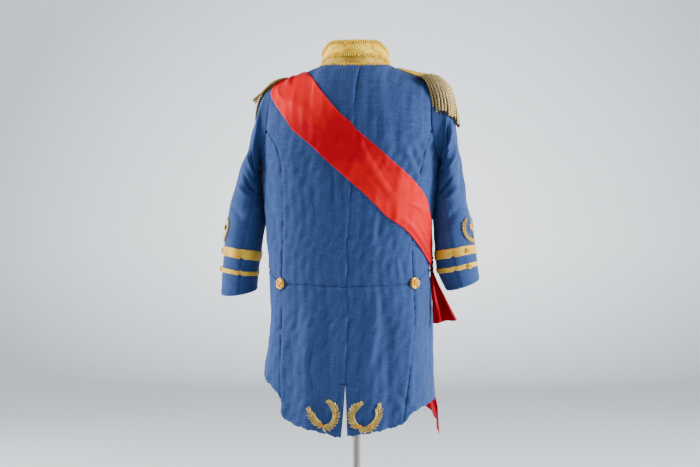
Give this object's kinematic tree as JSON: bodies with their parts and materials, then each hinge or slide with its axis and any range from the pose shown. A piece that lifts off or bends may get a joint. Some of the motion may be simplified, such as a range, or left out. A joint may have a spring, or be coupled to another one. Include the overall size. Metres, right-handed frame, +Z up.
{
  "type": "court uniform coat on a limbless dress form stand",
  "caption": "Blue court uniform coat with gold satin collar, bullion epaulettes, laurel appliques and a red satin sash, on a dress form stand.",
  "frame": {"origin": "middle of the flat underside of the stand's base, on the floor", "axes": "+Z up; the wearer faces -Y; +X is the wearer's left, the side on which the sash crosses the shoulder"},
  "size_m": [0.6489, 0.38, 1.516],
  "materials": {
    "blue_cloth": "slubbed matt weave",
    "gold_satin": "satin",
    "red_satin": "glossy satin",
    "gold_thread": "twisted metal thread",
    "gilt_metal": "aged gilt",
    "black_cord": "matt cord",
    "form_linen": "plain linen cover",
    "brushed_steel": "brushed"
  },
  "bodies": {
    "root": {"back_left": "blue_cloth", "back_right": "blue_cloth", "base": "brushed_steel", "collar": "gold_satin", "collar_piping": "gold_satin", "collar_trim_middle": "gold_satin", "collar_trim_top": "gold_satin", "cuff_band_narrow_left": "gold_satin", "cuff_band_narrow_right": "gold_satin", "cuff_band_wide_left": "gold_satin", "cuff_band_wide_right": "gold_satin", "cuff_button_narrow_left": "gilt_metal", "cuff_button_narrow_right": "gilt_metal", "cuff_button_wide_left": "gilt_metal", "cuff_button_wide_right": "gilt_metal", "dress_form": "form_linen", "epaulette_left": "gold_thread", "epaulette_right": "gold_thread", "fringe_left": "gold_thread", "fringe_right": "gold_thread", "front_button_1": "gilt_metal", "front_button_2": "gilt_metal", "front_button_3": "gilt_metal", "front_button_4": "gilt_metal", "front_left": "blue_cloth", "front_right": "blue_cloth", "pole": "brushed_steel", "sash_back": "red_satin", "sash_front": "red_satin", "sash_tail_long": "red_satin", "sash_tail_short": "red_satin", "sash_tie": "black_cord", "side_back_left": "blue_cloth", "side_back_right": "blue_cloth", "skirt_back_left": "blue_cloth", "skirt_back_right": "blue_cloth", "skirt_side_left": "blue_cloth", "skirt_side_right": "blue_cloth", "sleeve_button_left": "gilt_metal", "sleeve_button_right": "gilt_metal", "sleeve_spray_left": "gold_thread", "sleeve_spray_right": "gold_thread", "sleeve_under_left": "blue_cloth", "sleeve_under_right": "blue_cloth", "sleeve_upper_left": "blue_cloth", "sleeve_upper_right": "blue_cloth", "tail_spray_left": "gold_thread", "tail_spray_right": "gold_thread", "waist_button_left": "gilt_metal", "waist_button_right": "gilt_metal"}
  },
  "joints": []
}
